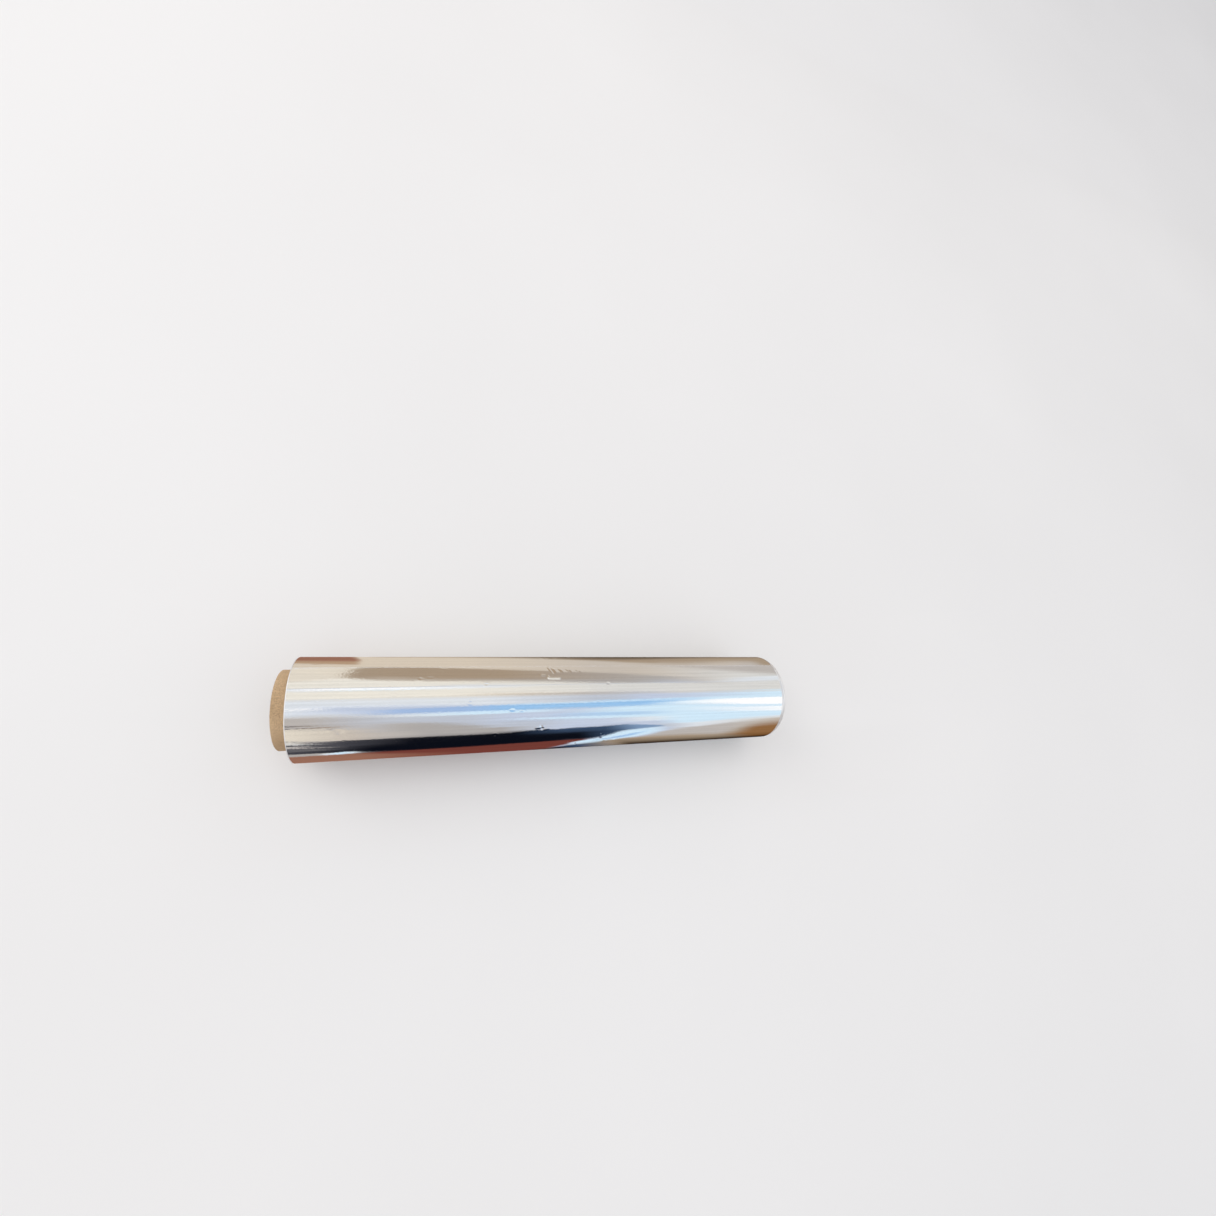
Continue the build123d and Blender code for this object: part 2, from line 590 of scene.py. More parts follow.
def board_material():
    """Bare brown core board: fine pressed fibres, matt, with darker glue lines on the cut ends."""
    material, tree, shader = new_material("core_board")
    cloud = stretched_noise(tree, (60.0, 60.0, 60.0), detail=2.0)
    fibres = stretched_noise(tree, (1750.0, 1500.0, 1500.0), detail=5.0, roughness=0.7)
    base = ramp(tree, cloud, (0.35, srgb(189, 159, 123)), (0.65, srgb(203, 173, 137)))
    specks = ramp(tree, fibres, (0.38, grey(0.7)), (0.5, grey(0.97)), (0.62, grey(1.14)))
    glue = add_node(tree, "ShaderNodeAttribute", {"attribute_name": "glue"}).outputs["Fac"]
    glue_shade = ramp(tree, glue, (0.0, grey(1.0)), (1.0, grey(0.42)))
    # Sockets 6 and 7 of a mix are its two colours, and 2 is their result
    for shade in (specks, glue_shade):
        mix = add_node(tree, "ShaderNodeMix", {"data_type": "RGBA", "blend_type": "MULTIPLY"})
        mix.inputs[0].default_value = 1.0
        tree.links.new(base, mix.inputs[6])
        tree.links.new(shade, mix.inputs[7])
        base = mix.outputs[2]
    tree.links.new(base, shader.inputs["Base Color"])
    shader.inputs["Roughness"].default_value = 0.82
    shader.inputs["Specular IOR Level"].default_value = 0.25
    bump = add_node(tree, "ShaderNodeBump", Strength=0.6, Distance=0.00006, Height=fibres)
    tree.links.new(bump.outputs[0], shader.inputs["Normal"])
    return material


def floor_material():
    """Matt and nearly white, with a faint cloud."""
    material, tree, shader = new_material("pale_floor")
    cloud = stretched_noise(tree, (2.0, 2.0, 2.0))
    tint = ramp(tree, cloud, (0.3, srgb(238, 237, 236)), (0.7, srgb(242, 241, 240)))
    tree.links.new(tint, shader.inputs["Base Color"])
    shader.inputs["Roughness"].default_value = 0.7
    shader.inputs["Specular IOR Level"].default_value = 0.2
    return material


# Studio

# The photograph's point of view and its axes, and its lens: focal length and centre in pixels
camera_place = Vector((-78.107, -36.236, 347.320)) * MM
camera_right = Vector((0.94982, -0.06319, 0.30636))
camera_up = Vector((-0.01728, 0.96729, 0.25310))
photo_side = 1216
focal_px = 500
principal_px = Vector((600, 630))
sensor_mm = 36.0
floor_side = 8000.0


def make_camera():
    """The photograph's view: close above the roll, left of its middle, with a wide lens."""
    data = bpy.data.cameras.new("photo_camera")
    data.sensor_width = sensor_mm
    data.lens = focal_px / photo_side * sensor_mm
    data.shift_x = (photo_side / 2 - principal_px.x) / photo_side
    data.shift_y = (principal_px.y - photo_side / 2) / photo_side
    data.clip_start = 0.01
    data.clip_end = 50.0
    camera = bpy.data.objects.new("photo_camera", data)
    backward = camera_right.cross(camera_up)
    turn = Matrix((camera_right, camera_up, backward)).transposed()
    camera.matrix_world = Matrix.Translation(camera_place) @ turn.to_4x4()
    bpy.context.scene.collection.objects.link(camera)
    bpy.context.scene.camera = camera


def soft_light(name, place, size, power, colour=(1, 1, 1), target=(0, 0, 0.03)):
    """A large soft box that lights the scene but doesn't show in the foil."""
    data = bpy.data.lights.new(name, "AREA")
    data.shape = "RECTANGLE"
    data.size, data.size_y = size
    data.energy = power
    data.color = colour
    light = bpy.data.objects.new(name, data)
    light.location = place
    light.rotation_euler = (Vector(target) - Vector(place)).to_track_quat("-Z", "Y").to_euler()
    light.visible_glossy = False
    light.visible_camera = False
    bpy.context.scene.collection.objects.link(light)


# Glowing panels that the foil mirrors, painted with the reflections, highlights and shade that the foil is
# to show. Their colours, 0 to 255
paint = {
    "white": (255, 255, 255),
    "ice": (207, 231, 246),
    "azure": (149, 192, 232),
    "powder": (174, 205, 234),
    "periwinkle": (156, 182, 220),
    "mist": (192, 202, 221),
    "dove": (187, 193, 204),
    "haze": (219, 224, 229),
    "cream": (233, 228, 216),
    "chalk": (214, 213, 209),
    "ivory": (224, 215, 199),
    "sand": (210, 197, 179),
    "stone": (197, 187, 175),
    "mushroom": (184, 178, 173),
    "ash": (170, 166, 163),
    "taupe": (163, 145, 124),
    "clay": (174, 146, 120),
    "walnut": (140, 101, 64),
    "chestnut": (98, 64, 30),
    "rust": (148, 106, 88),
    "brick": (113, 59, 51),
    "umber": (90, 77, 63),
    "coffee": (46, 35, 27),
    "pewter": (112, 110, 112),
    "iron": (64, 64, 70),
    "steel": (122, 148, 180),
    "slate": (54, 72, 98),
    "navy": (10, 13, 22),
}

# Each band is painted reflection on a glowing panel. It is lighter or darker where the foil shows
# highlights or shade
# A band is written down at the place on the foil where the photograph shows it, as (mm along the
# roll, degrees round it). It has its colours along the roll, its lower and its upper line, how soft
# each line is in degrees, and its start and end with how far each fades. The angles were read on a
# roll without waves, and reading_shift brings them to the real one
Band = namedtuple("Band", "about colours low high soft ends", defaults=(None,) * 4)
reading_shift = 0.85

# A start or an end beyond the panels, of a band that runs on past the roll
past_left = -400
past_right = 2000

# A panel is x_scale times as long as the foil shows it, turn_scale times as wide, and x_shift aside
Panel = namedtuple("Panel", "radius has_mat x_scale x_shift turn_scale")
sky_panel = Panel(900.0, False, 3.977, 233.0, 2.063)
trough_panel = Panel(84.0, True, 1.205, 16.5, 1.8)
mat_height = 0.6
panel_gain = 1.13

# Stations of the panels along the roll and round it, as (start, end, spacing)
sky_x_runs = ((-900.0, -420.0, 40.0), (-420.0, 900.0, 12.0), (900.0, 1700.0, 50.0))
sky_turn_run = (-100.0, 100.0, 0.6)
trough_x_runs = ((-260.0, -180.0, 8.0), (-180.0, 215.0, 2.5), (215.0, 415.0, 12.5))
front_turn_run = (-168.0, -53.0, 0.7)
back_turn_run = (78.0, 168.0, 1.0)

# Thin painted streaks of light on the panels, which the foil mirrors as fine lines: how many, their widths
# in degrees, how far along they change, how strong
line_count = 18
line_periods = (2.5, 13.0)
line_drift = 300.0
line_strength = 0.016
line_seed = 3

# Lines that several bands share
crown_line = (
    (-150, 23), (-122, 26.2), (-115, 24.8), (-104, 23.4), (-80, 21.2), (-50, 20.2), (-30, 19.6),
    (-10, 18.7), (0, 17.8), (10, 17.2), (50, 15.4), (92, 13.6),
)
sky_foot = ((-150, -60), (150, -60))
front_foot = ((-150, -95), (150, -95))
back_top = ((-150, 95), (150, 95))
back_end = ((-150, 99), (150, 99))
strip_foot = ((-110, -60.4), (-90, -61.0), (-60, -60.2), (-20, -58.0), (0, -56.2), (14, -56.2))
strip_top = (
    (-25, -39.2), (-18, -38.4), (-10, -38.8), (0, -37.8), (20, -37.2), (30, -36.3), (36, -35.9),
    (46, -37.0), (62, -40.2),
)

sky_bands = (
    Band(
        "light of the whole ceiling",
        ((-135, "ivory"), (-60, "sand"), (20, "stone"), (125, "mushroom")),
    ),
    Band(
        "pale end at the right", ((45, "stone"), (120, "chalk")),
        ((-150, -10), (150, -10)), ((20, 48), (60, 43), (80, 38), (100, 34), (120, 30), (150, 25)),
        (1, 4.0), (10, past_right, 70, 30),
    ),
    Band(
        "taupe strip above the crown", ((-40, "taupe"), (60, "ash"), (90, "mushroom")),
        crown_line[1:],
        (
            (-124, 30), (-119, 41), (-112, 43.6), (-80, 41.2), (-60, 39.1), (-30, 36.2), (-20, 35.3),
            (0, 32.8), (20, 30.4), (50, 27.6), (92, 21.5),
        ),
        (1.0, 1.0), (-125, 112, 4, 60),
    ),
    Band(
        "grey side of the taupe strip", ((-100, "stone"), (-10, "ash"), (40, "ash"), (70, "dove")),
        crown_line[1:],
        ((-118, 27.5), (-80, 23.5), (-50, 22.6), (-10, 21), (10, 20.2), (50, 18.4), (92, 16.6)),
        (1.0, 4.0), (-125, 112, 30, 50),
    ),
    Band(
        "cream over the crown", ((-60, "cream"), (25, "chalk")),
        ((-150, 3.0), (150, 3.0)), (*crown_line, (150, 9)),
        (2.5, 1.0),
    ),
    Band(
        "pale line at the right", ((120, "haze"),),
        ((80, 14), (150, 17)), ((80, 17), (150, 23)),
        (1.5, 2.5), (90, past_right, 40, 30),
    ),
    Band(
        "grey line over the free edge", ((-100, "chalk"),),
        ((-150, 15.6), (150, 15.0)), ((-150, 18.0), (150, 17.0)),
        (0.8, 1.2), (-140, 10, 40, 60),
    ),
    Band(
        "light of the free edge", ((-140, "haze"), (-110, "ice"), (-60, "haze")),
        ((-150, 12.6), (150, 12.6)), ((-150, 15.8), (150, 15.8)),
        (0.9, 0.8), (-170, 0, 26, 60),
    ),
    Band(
        "bright line of the free edge", ((-100, "white"),),
        ((-150, 13.3), (150, 13.3)), ((-150, 15.2), (150, 15.2)),
        (0.5, 0.5), (-160, -30, 30, 60),
    ),
    Band(
        "sand line at the foot of the cream", ((-40, "sand"), (10, "mushroom"), (60, "dove")),
        ((-80, 4.0), (0, 2.4), (80, 2.0)), ((-80, 7.0), (0, 5.6), (80, 5.0)),
        (1.4, 1.4), (-80, 80, 60, 50),
    ),
    Band(
        "haze", ((-50, "haze"), (12, "dove"), (30, "dove"), (46, "mist"), (70, "mist"), (140, "ice")),
        sky_foot, ((-150, 3.2), (150, 2.0)),
        (1, 1.8),
    ),
    Band(
        "cool light in front of the crown",
        (
            (-140, "mushroom"), (-100, "dove"), (-60, "dove"), (-35, "mist"), (-10, "mist"),
            (30, "ice"), (150, "ice"),
        ),
        sky_foot, ((-150, -12.6), (-110, -14), (-90, -12.8), (-20, -12), (60, -12), (150, -12)),
        (1, 3),
    ),
    Band(
        "lavender at the left", ((-150, "haze"), (-124, "mist"), (-60, "mist")),
        ((-150, -13.2), (-130, -10.4), (-110, -12.6), (-60, -15)), ((-150, -4.0), (-60, -5.4)),
        (2.2, 1.8), (-170, -40, 10, 40),
    ),
    Band(
        "dark line at the left", ((-150, "pewter"), (-128, "taupe")),
        ((-150, -25.8), (-120, -26.2)), ((-150, -23.6), (-120, -23.8)),
        (0.5, 0.9), (-170, -112, 10, 26),
    ),
    Band(
        "ivory patch at the left", ((-150, "ivory"), (-120, "stone")),
        ((-150, -60), (-110, -60)), ((-150, -26.2), (-110, -27.5)),
        (1, 0.8), (-170, -92, 10, 30),
    ),
    Band(
        "short bright line at the left", ((-150, "white"),),
        ((-150, -6.8), (-130, -6.4)), ((-150, -5.0), (-130, -5.2)),
        (0.5, 0.5), (-170, -130, 10, 10),
    ),
    Band(
        "grey foot of the cool light", ((-110, "mushroom"), (-85, "ash"), (-50, "ash"), (-20, "dove")),
        sky_foot,
        ((-112, -23), (-100, -22.5), (-80, -24), (-60, -27.5), (-40, -31.5), (-20, -36), (0, -39)),
        (1.0, 2.4), (-124, 0, 30, 20),
    ),
    Band(
        "pale line under the azure",
        ((-95, "haze"), (-60, "ice"), (-30, "ice"), (2, "mist"), (35, "ice")),
        ((-150, -17), (-60, -17), (-20, -16), (60, -17), (150, -21)),
        ((-150, -12.5), (60, -12.4), (150, -16)),
        (1.0, 0.8), (-115, past_right, 30, 30),
    ),
    Band(
        "azure line",
        (
            (-120, "mist"), (-98, "periwinkle"), (-62, "periwinkle"), (-40, "azure"), (50, "azure"),
            (95, "ice"),
        ),
        ((-120, -13.4), (-80, -13.2), (0, -12.7), (50, -12.4), (90, -11.5), (150, -9)),
        ((-120, -8.2), (-80, -7.9), (-60, -7.1), (0, -6.2), (20, -4.8), (90, -4.6), (150, -4.4)),
        (0.6, 0.8), (-130, past_right, 36, 50),
    ),
    Band(
        "thin line over the azure", ((0, "ice"),),
        ((-60, -7.4), (0, -6.6), (50, -6.0), (90, -5)), ((-60, -6.4), (0, -5.6), (50, -5.0), (90, -4)),
        (0.5, 0.6), (-50, 90, 30, 30),
    ),
    Band(
        "blue streak in front", ((-20, "mist"), (15, "powder"), (40, "powder"), (75, "ice")),
        ((-40, -22.6), (60, -24.0)), ((-40, -18), (60, -19.5)),
        (1.0, 1.5), (-50, 85, 40, 30),
    ),
    Band(
        "thin line below the blue streak", ((0, "ice"),),
        ((-40, -24.4), (60, -26.4)), ((-40, -22.8), (60, -24.4)),
        (0.5, 0.5), (-46, 80, 30, 30),
    ),
    Band(
        "violet light below", ((-20, "dove"), (0, "mist"), (25, "mist"), (50, "haze"), (72, "ice")),
        sky_foot, ((-60, -33), (-40, -25.5), (60, -26.8), (150, -28.5)),
        (1.0, 1.0), (-64, 90, 30, 40),
    ),
    Band(
        "white glare at the right", ((60, "ice"), (104, "white")),
        ((40, -12.0), (60, -12.0), (80, -12.6), (100, -13.1), (120, -14.8), (150, -17.2)),
        ((40, -11.0), (60, -9.8), (75, -8.0), (95, -7.0), (150, -6.6)),
        (0.6, 0.7), (40, past_right, 36, 30),
    ),
    Band(
        "second pale streak at the right", ((60, "ice"), (165, "white")),
        ((80, -21.0), (150, -25.6)), ((80, -15.8), (110, -17.3), (150, -19.1)),
        (1.6, 0.8), (40, past_right, 60, 30),
    ),
)

front_bands = (
    Band(
        "wall",
        (
            (-150, "ivory"), (-120, "stone"), (-100, "mushroom"), (-80, "ash"), (-42, "ash"),
            (-22, "dove"), (-5, "mist"), (28, "mist"), (54, "mist"), (72, "ice"), (110, "ice"),
            (150, "haze"),
        ),
    ),
    Band(
        "haze over the mushroom foot", ((60, "dove"), (84, "haze"), (150, "chalk")),
        front_foot, ((50, -35.5), (80, -37.5), (110, -35), (150, -34)),
        (1, 1.6), (46, past_right, 20, 30),
    ),
    Band(
        "mushroom foot at the right", ((60, "mushroom"), (112, "mushroom"), (150, "stone")),
        front_foot,
        (
            (30, -66), (52, -56), (66, -48.4), (76, -46.0), (95, -42.8), (110, -40), (130, -38),
            (150, -36),
        ),
        (1, 2.2), (20, past_right, 20, 30),
    ),
    Band(
        "walnut foot", ((118, "taupe"), (132, "walnut"), (150, "walnut")),
        front_foot, ((98, -63), (113, -54.5), (125, -47.6), (136, -44.6), (150, -42.6)),
        (1, 8), (100, past_right, 26, 30),
    ),
    Band(
        "taupe foot", ((60, "taupe"), (108, "taupe"), (126, "walnut")),
        front_foot, ((30, -59.4), (60, -58.6), (80, -58.8), (100, -61), (150, -62)),
        (1, 5), (10, past_right, 20, 30),
    ),
    Band(
        "umber foot", ((60, "umber"), (106, "umber"), (124, "chestnut")),
        front_foot, ((20, -67), (60, -68), (100, -70), (120, -69), (150, -70)),
        (1, 5.5), (3, past_right, 22, 30),
    ),
    Band(
        "brick foot at the left", ((-124, "rust"), (-108, "brick")),
        front_foot, ((-150, -62.5), (-110, -60), (150, -50)),
        (1, 1), (past_left, 16, 10, 8),
    ),
    Band(
        "rust below the brick", ((-118, "rust"), (-60, "brick")),
        front_foot,
        ((-125, -62.5), (-108, -64.3), (-100, -66.8), (-90, -69.2), (-80, -71.4), (-60, -74)),
        (1, 2.0), (past_left, -40, 10, 24),
    ),
    Band(
        "coffee foot", ((60, "coffee"),),
        front_foot, ((-25, -85), (0, -78), (30, -77), (100, -78), (150, -77)),
        (1, 3), (-32, past_right, 14, 30),
    ),
    Band(
        "slate under the icy wedge", ((-12, "navy"), (2, "slate"), (14, "pewter"), (30, "taupe")),
        ((-150, -84), (150, -84)), ((-16, -82), (0, -70), (10, -67), (20, -64.5), (30, -61)),
        (4, 1.5), (-18, 36, 6, 16),
    ),
    Band(
        "shade over the navy strip", ((-110, "pewter"), (-20, "pewter")),
        ((-150, -62), (60, -55)), ((-110, -40.4), (-60, -40.2), (-25, -38.4)),
        (1, 2.0), (-130, -17, 30, 14),
    ),
    Band(
        "navy strip",
        ((-147, "pewter"), (-122, "iron"), (-90, "navy"), (6, "navy"), (30, "slate"), (46, "steel")),
        (
            (-150, -57.8), (-134, -58.2), *strip_foot, (20, -54.9), (24, -52.4), (30, -48.4),
            (34, -46.6), (44, -44.2), (60, -41), (64, -40.7),
        ),
        ((-150, -41.8), (-130, -41.2), (-60, -41.4), (-40, -41.3), *strip_top),
        (1.5, 0.6), (past_left, 64, 44, 6),
    ),
    Band(
        "sheen on the navy strip", ((-36, "navy"), (-4, "slate"), (22, "slate"), (42, "steel")),
        ((-40, -43), (-18, -43.5), (20, -43.5), (36, -42), (50, -41)), ((-40, -41.2), *strip_top),
        (4.0, 0.6), (-40, 62, 16, 6),
    ),
    Band(
        "dark foot of the navy strip", ((-150, "iron"), (-110, "navy")),
        ((-140, -58), *strip_foot), ((-140, -52.6), (-100, -49), (-20, -49), (18, -52)),
        (1.5, 4), (past_left, 22, 20, 16),
    ),
    Band(
        "first dark line in the strip", ((-140, "iron"),),
        ((-150, -45.0), (-124, -48.4)), ((-150, -43.4), (-124, -46.6)),
        (0.5, 0.5), (past_left, -118, 10, 24),
    ),
    Band(
        "first pale line in the strip", ((-140, "chalk"),),
        ((-150, -42.8), (-134, -44.6)), ((-150, -41.2), (-134, -43.4)),
        (0.5, 0.5), (past_left, -128, 10, 20),
    ),
    Band(
        "second pale line in the strip", ((-140, "mushroom"),),
        ((-150, -48.0), (-124, -50.8)), ((-150, -46.2), (-124, -49.6)),
        (0.5, 0.5), (past_left, -119, 10, 26),
    ),
    Band(
        "second dark line in the strip", ((-140, "iron"),),
        ((-150, -49.6), (-124, -52.2)), ((-150, -48.2), (-124, -51.0)),
        (0.4, 0.5), (past_left, -116, 10, 26),
    ),
    Band(
        "third pale line in the strip", ((-140, "pewter"),),
        ((-150, -51.4), (-126, -53.4)), ((-150, -50.0), (-126, -52.6)),
        (0.5, 0.5), (past_left, -119, 10, 26),
    ),
    Band(
        "dark line over the strip", ((-140, "ash"),),
        ((-150, -40.8), (-130, -42.0)), ((-150, -39.0), (-130, -40.8)),
        (0.5, 0.6), (past_left, -122, 10, 22),
    ),
    Band(
        "line under the strip", ((-150, "ash"), (-124, "ash"), (-112, "pewter")),
        ((-150, -62.3), (-110, -61.8)), ((-150, -58.2), (-134, -58.4), (-110, -60.4)),
        (0.8, 0.7), (past_left, -104, 10, 12),
    ),
    Band(
        "pale spot at the left", ((-134, "haze"), (-126, "ice"), (-116, "haze")),
        ((-137, -61.8), (-126, -62.4), (-115, -60.4)),
        ((-137, -61.0), (-130, -58.8), (-122, -57.2), (-115, -59.2)),
        (0.7, 0.6), (-138, -114, 5, 6),
    ),
    # Painted reflection of the floor, on the panel's mat that hides the real floor from the foil
    Band(
        "pale floor under the front", ((0, "chalk"),),
        ((-150, -200), (150, -200)), ((-150, -96), (150, -96)),
        (3, 5),
    ),
    Band(
        "icy wedge", ((-6, "mist"), (8, "ice"), (52, "ice"), (66, "mist")),
        (
            (-16, -81), (0, -71), (10, -68.2), (20, -65.6), (30, -62), (42, -57.6), (52, -53.6),
            (60, -50.4), (68, -47),
        ),
        (
            (-16, -79), (0, -68.4), (10, -60.8), (20, -55.8), (25, -52.0), (30, -48.0), (40, -45.0),
            (48, -43.6), (58, -42.1), (68, -42.2),
        ),
        (1.6, 0.9), (-18, 71, 12, 11),
    ),
    Band(
        "blue line in the wedge", ((4, "steel"), (24, "periwinkle"), (50, "azure")),
        ((2, -68.0), (16, -63.2), (28, -59.4), (40, -55.0), (52, -48.4)),
        ((2, -66.2), (16, -61.0), (28, -56.0), (40, -51.4), (52, -46.0)),
        (1.8, 0.8), (12, 56, 14, 16),
    ),
)

back_bands = (
    Band(
        "wall", ((-135, "sand"), (-60, "sand"), (20, "stone"), (110, "stone"), (150, "mushroom")),
    ),
    Band(
        "wide shade at the right", ((50, "taupe"), (150, "taupe")),
        ((40, 50), (80, 48), (100, 50), (120, 52.5), (150, 51)), back_top,
        (9, 1), (34, past_right, 40, 30),
    ),
    Band(
        "taupe foot", ((-95, "taupe"), (40, "taupe")),
        ((-95, 71), (-20, 66), (0, 60.5), (20, 56), (40, 51.5), (60, 50), (90, 60)), back_top,
        (3.5, 1), (-120, 96, 20, 40),
    ),
    Band(
        "umber foot", ((-60, "umber"), (50, "umber")),
        (
            (-95, 88), (-60, 79), (-20, 70), (0, 64.5), (20, 60.5), (40, 60), (60, 62), (80, 65.5),
            (110, 70), (150, 72),
        ),
        back_end,
        (5.5, 1), (-120, past_right, 60, 30),
    ),
    # Painted reflection of the floor, on the panel's mat that hides the real floor from the foil
    Band(
        "pale floor under the back", ((0, "chalk"),),
        ((-150, 93), (150, 93)), ((-150, 200), (150, 200)),
        (5, 3),
    ),
    Band(
        "shade at the right end", ((146, "taupe"),),
        ((-150, 37.5), (150, 37.5)), back_top,
        (4, 1), (134, past_right, 14, 30),
    ),
    # The clay edge and the rust patch are rust-coloured painted reflection on the glowing panel, not rust
    # on the foil
    Band(
        "clay edge of the rust patch", ((-135, "clay"),),
        ((-150, 50.8), (-135, 49.2), (-122, 47.6), (-115, 47)), back_end,
        (2.0, 1), (past_left, -117, 20, 4),
    ),
    Band(
        "rust patch", ((-135, "rust"),),
        ((-150, 57.2), (-115, 55.4)), back_end,
        (3.0, 1), (past_left, -118, 20, 3),
    ),
)


def along_line(points, x):
    """Value at x of a line through a few (x, value) points."""
    xs, values = zip(*points)
    return np.interp(x, xs, values)


def band_cover(band, x, turn):
    """How much of a band lies on each place of the panel, from 0 to 1."""
    cover = np.ones_like(x)
    if band.low:
        soft_low, soft_high = band.soft
        cover = smooth(turn - along_line(band.low, x), -soft_low, soft_low)
        cover *= smooth(along_line(band.high, x) - turn, -soft_high, soft_high)
    if band.ends:
        start, end, start_fade, end_fade = band.ends
        cover = cover * smooth(x, start, start + start_fade) * (1 - smooth(x, end - end_fade, end))
    return cover[..., None]


def band_colour(band, x):
    """A band's colour along the roll, as linear light."""
    xs = [place for place, name in band.colours]
    stops = np.array([srgb(*paint[name])[:3] for place, name in band.colours])
    return np.stack([np.interp(x, xs, stops[:, channel]) for channel in range(3)], -1)


def fine_streaks(x, turn):
    """Brightness of the many thin painted streaks on the panels, which the foil mirrors as lines along the
    roll, about 1.
    """
    pick = np.random.default_rng(line_seed)
    lines = np.zeros_like(x)
    for period in pick.uniform(*line_periods, line_count):
        phase, drift, swell = pick.uniform(-pi, pi, 3)
        strength = np.cos(swell + drift * x / line_drift)
        lines += strength * np.cos(2 * pi * turn / period + phase + drift * x / line_drift)
    return 1 + line_strength * lines[..., None]


def mirrored(panel, x, shown_angle):
    """Place on a panel, in mm and degrees, that the photograph shows at x and an angle on the foil."""
    angle = shown_angle - reading_shift
    turn = radians(angle)
    outward = np.array([0, sin(turn), cos(turn)])
    onward = np.array([0, cos(turn), -sin(turn)])
    share = (free_edge_angle - angle) % 360 / 360
    radius = roll_radius + turn_pitch * (share - 1) + slow_waves(x, angle)
    step = 0.01
    rise_round = (slow_waves(x, angle + step) - slow_waves(x, angle - step)) / radians(2 * step)
    rise_along = (slow_waves(x + step, angle) - slow_waves(x - step, angle)) / (2 * step)
    normal = outward - (rise_round - turn_pitch / (2 * pi)) / radius * onward - [rise_along, 0, 0]
    normal /= np.linalg.norm(normal)
    # The line of sight turns away at the foil and meets the round panel, or its mat if that comes first
    spot = radius * outward + [x, 0, 0]
    sight = spot + [0, 0, axis_height] - np.array(camera_place) / MM
    ray = sight - 2 * sight.dot(normal) * normal
    square = ray[1] ** 2 + ray[2] ** 2
    half = spot[1] * ray[1] + spot[2] * ray[2]
    rest = spot[1] ** 2 + spot[2] ** 2 - panel.radius**2
    reach = (sqrt(half**2 - square * rest) - half) / square
    to_mat = (mat_height - axis_height - spot[2]) / ray[2]
    if panel.has_mat and to_mat > 0:
        reach = min(reach, to_mat)
    spot += reach * ray
    return spot[0], degrees(atan2(spot[1], spot[2]))


def carried(band, panel):
    """A band of the photograph, carried over to the panel that the foil mirrors."""
    colours = [(panel.x_shift + panel.x_scale * x, name) for x, name in band.colours]
    if band.low is None:
        return Band(band.about, colours)
    low = [mirrored(panel, x, angle) for x, angle in band.low]
    high = [mirrored(panel, x, angle) for x, angle in band.high]
    soft = [panel.turn_scale * width for width in band.soft]
    if band.ends is None:
        return Band(band.about, colours, low, high, soft)
    places = [panel.x_shift + panel.x_scale * x for x in band.ends[:2]]
    fades = [panel.x_scale * fade for fade in band.ends[2:]]
    return Band(band.about, colours, low, high, soft, (*places, *fades))


def panel_reach(panel, turn):
    """Distance of a panel from the roll's axis. The trough's bottom is a glowing mat just above the floor,
    seen only in the foil.
    """
    reach = np.full_like(turn, panel.radius)
    if panel.has_mat:
        down = np.maximum(-np.cos(np.radians(turn)), 0.001)
        reach = np.minimum(reach, (axis_height - mat_height) / down)
    return reach


def panel_light(panel, bands, x_runs, x, turn):
    """Linear light of each place on a panel. In the outer runs along the roll it fades to chalk."""
    light = np.zeros((*x.shape, 3))
    for row in bands:
        band = carried(row, panel)
        cover = band_cover(band, x, turn)
        light = light * (1 - cover) + band_colour(band, x) * cover
    drawn = smooth(x, *x_runs[0][:2]) * (1 - smooth(x, *x_runs[-1][:2]))
    light = srgb(*paint["chalk"])[:3] * (1 - drawn[..., None]) + light * drawn[..., None]
    return light * fine_streaks(x, turn)


def glow_material(name):
    """Light of a panel's own, from the colours kept on its vertices."""
    material = bpy.data.materials.new(name)
    material.use_nodes = True
    tree = material.node_tree
    tree.nodes.clear()
    glow = add_node(tree, "ShaderNodeAttribute", {"attribute_name": "glow"}).outputs["Color"]
    emission = add_node(tree, "ShaderNodeEmission", Color=glow, Strength=panel_gain)
    output = tree.nodes.new("ShaderNodeOutputMaterial")
    tree.links.new(emission.outputs[0], output.inputs[0])
    return material


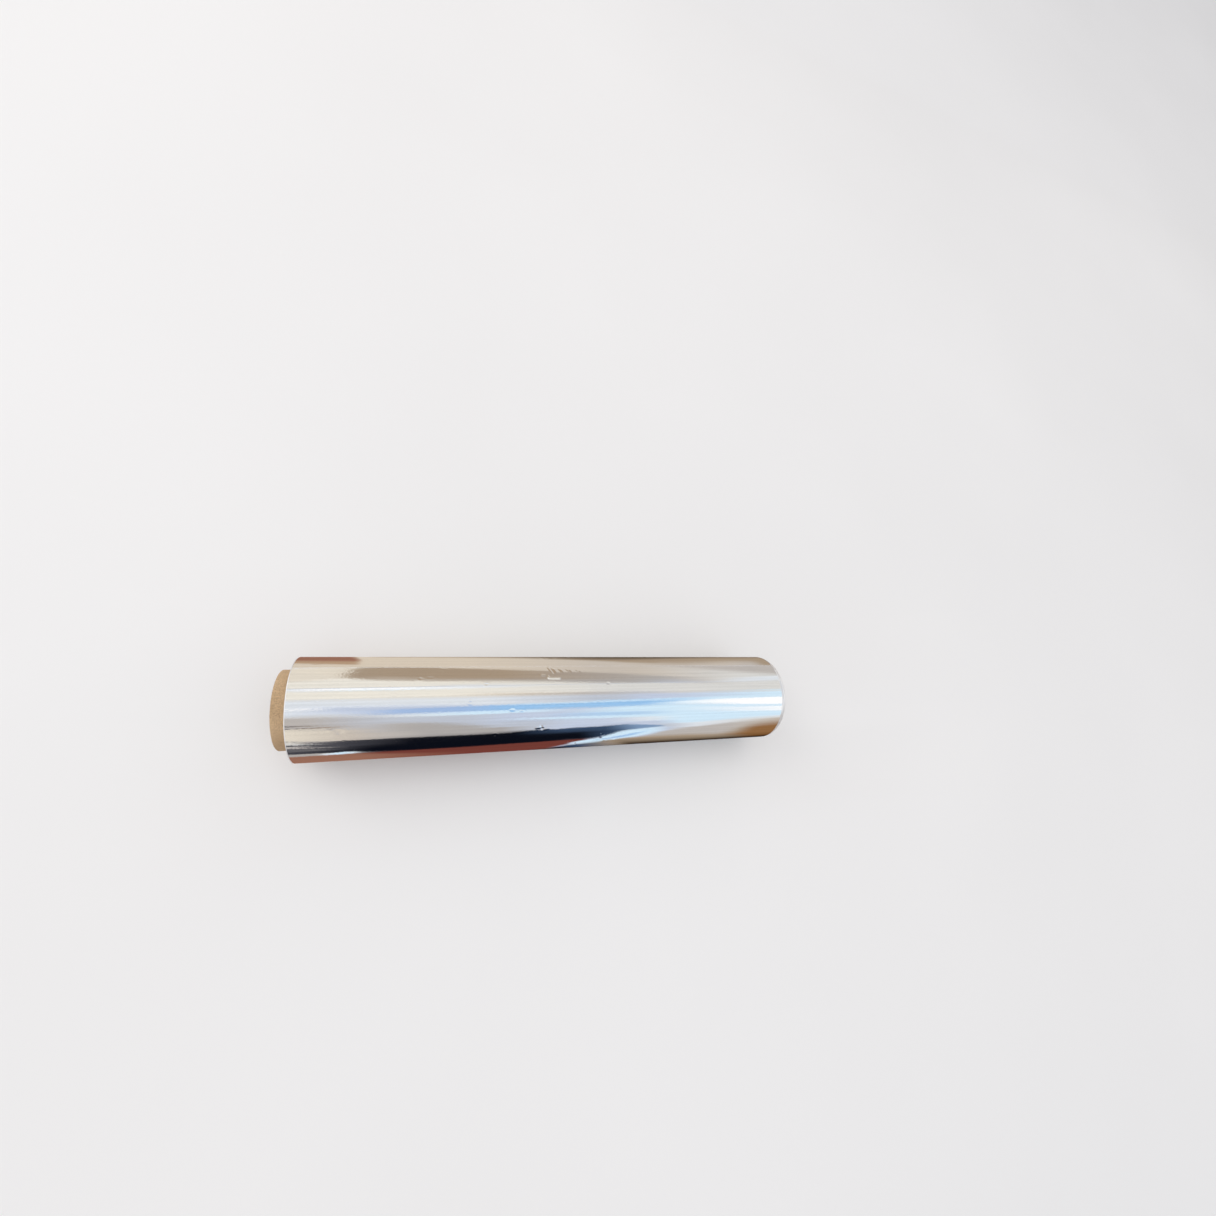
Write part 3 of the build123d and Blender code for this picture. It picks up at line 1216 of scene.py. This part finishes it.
def glow_sheet(name, panel, x_runs, turn_run, bands):
    """A curved glowing panel round the roll's axis that only shows in the foil, painted with the
    reflections that the foil is to show.
    """
    grid_x, grid_turn = np.meshgrid(graded(*x_runs), graded(turn_run))
    rows, columns = grid_x.shape
    a = np.radians(grid_turn)
    r = panel_reach(panel, grid_turn)
    places = np.stack([grid_x, r * np.sin(a), r * np.cos(a) + axis_height], -1).reshape(-1, 3)
    faces = [
        (k * columns + c, k * columns + c + 1, (k + 1) * columns + c + 1, (k + 1) * columns + c)
        for k in range(rows - 1)
        for c in range(columns - 1)
    ]
    sheet = new_piece(name, places, faces)
    light = panel_light(panel, bands, x_runs, grid_x, grid_turn)
    attribute = sheet.data.color_attributes.new("glow", "FLOAT_COLOR", "POINT")
    attribute.data.foreach_set("color", np.insert(light, 3, 1.0, axis=-1).reshape(-1))
    sheet.data.materials.append(glow_material(name))
    # Hidden from the camera, from diffuse light and from shadows, so the panel only paints reflections in
    # the foil
    sheet.visible_camera = False
    sheet.visible_diffuse = False
    sheet.visible_shadow = False
    sheet.visible_transmission = False
    sheet.visible_volume_scatter = False


def make_studio():
    """Pale floor, soft light from above, and a tent of large glowing panels, painted with reflections, for
    the foil to mirror.
    """
    half = floor_side / 2
    corners = [(-half, -half, 0), (half, -half, 0), (half, half, 0), (-half, half, 0)]
    floor = new_piece("floor", corners, [(0, 1, 2, 3)])
    floor.data.materials.append(floor_material())

    world = bpy.data.worlds.new("pale_room")
    world.use_nodes = True
    background = world.node_tree.nodes["Background"]
    background.inputs["Color"].default_value = srgb(240, 240, 243)
    background.inputs["Strength"].default_value = 0.80
    bpy.context.scene.world = world

    soft_light("ceiling_box", (-0.3, 0.6, 3.0), (2.4, 2.4), 22.0, (1.0, 0.99, 0.97))
    soft_light("window_box", (-1.4, 0.9, 1.3), (1.2, 0.9), 6.0, (1.0, 0.98, 0.95))

    glow_sheet("sky_panels", sky_panel, sky_x_runs, sky_turn_run, sky_bands)
    glow_sheet("front_panel", trough_panel, trough_x_runs, front_turn_run, front_bands)
    glow_sheet("back_panel", trough_panel, trough_x_runs, back_turn_run, back_bands)


make_camera()
make_studio()

foil = make_foil()
foil.data.materials.append(foil_material())
foil.data.materials.append(foil_edge_material())
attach(foil, "root")
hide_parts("foil")

core = make_core()
core.data.materials.append(board_material())
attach(core, "root")
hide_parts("core")

bpy.context.scene.view_settings.view_transform = "Standard"
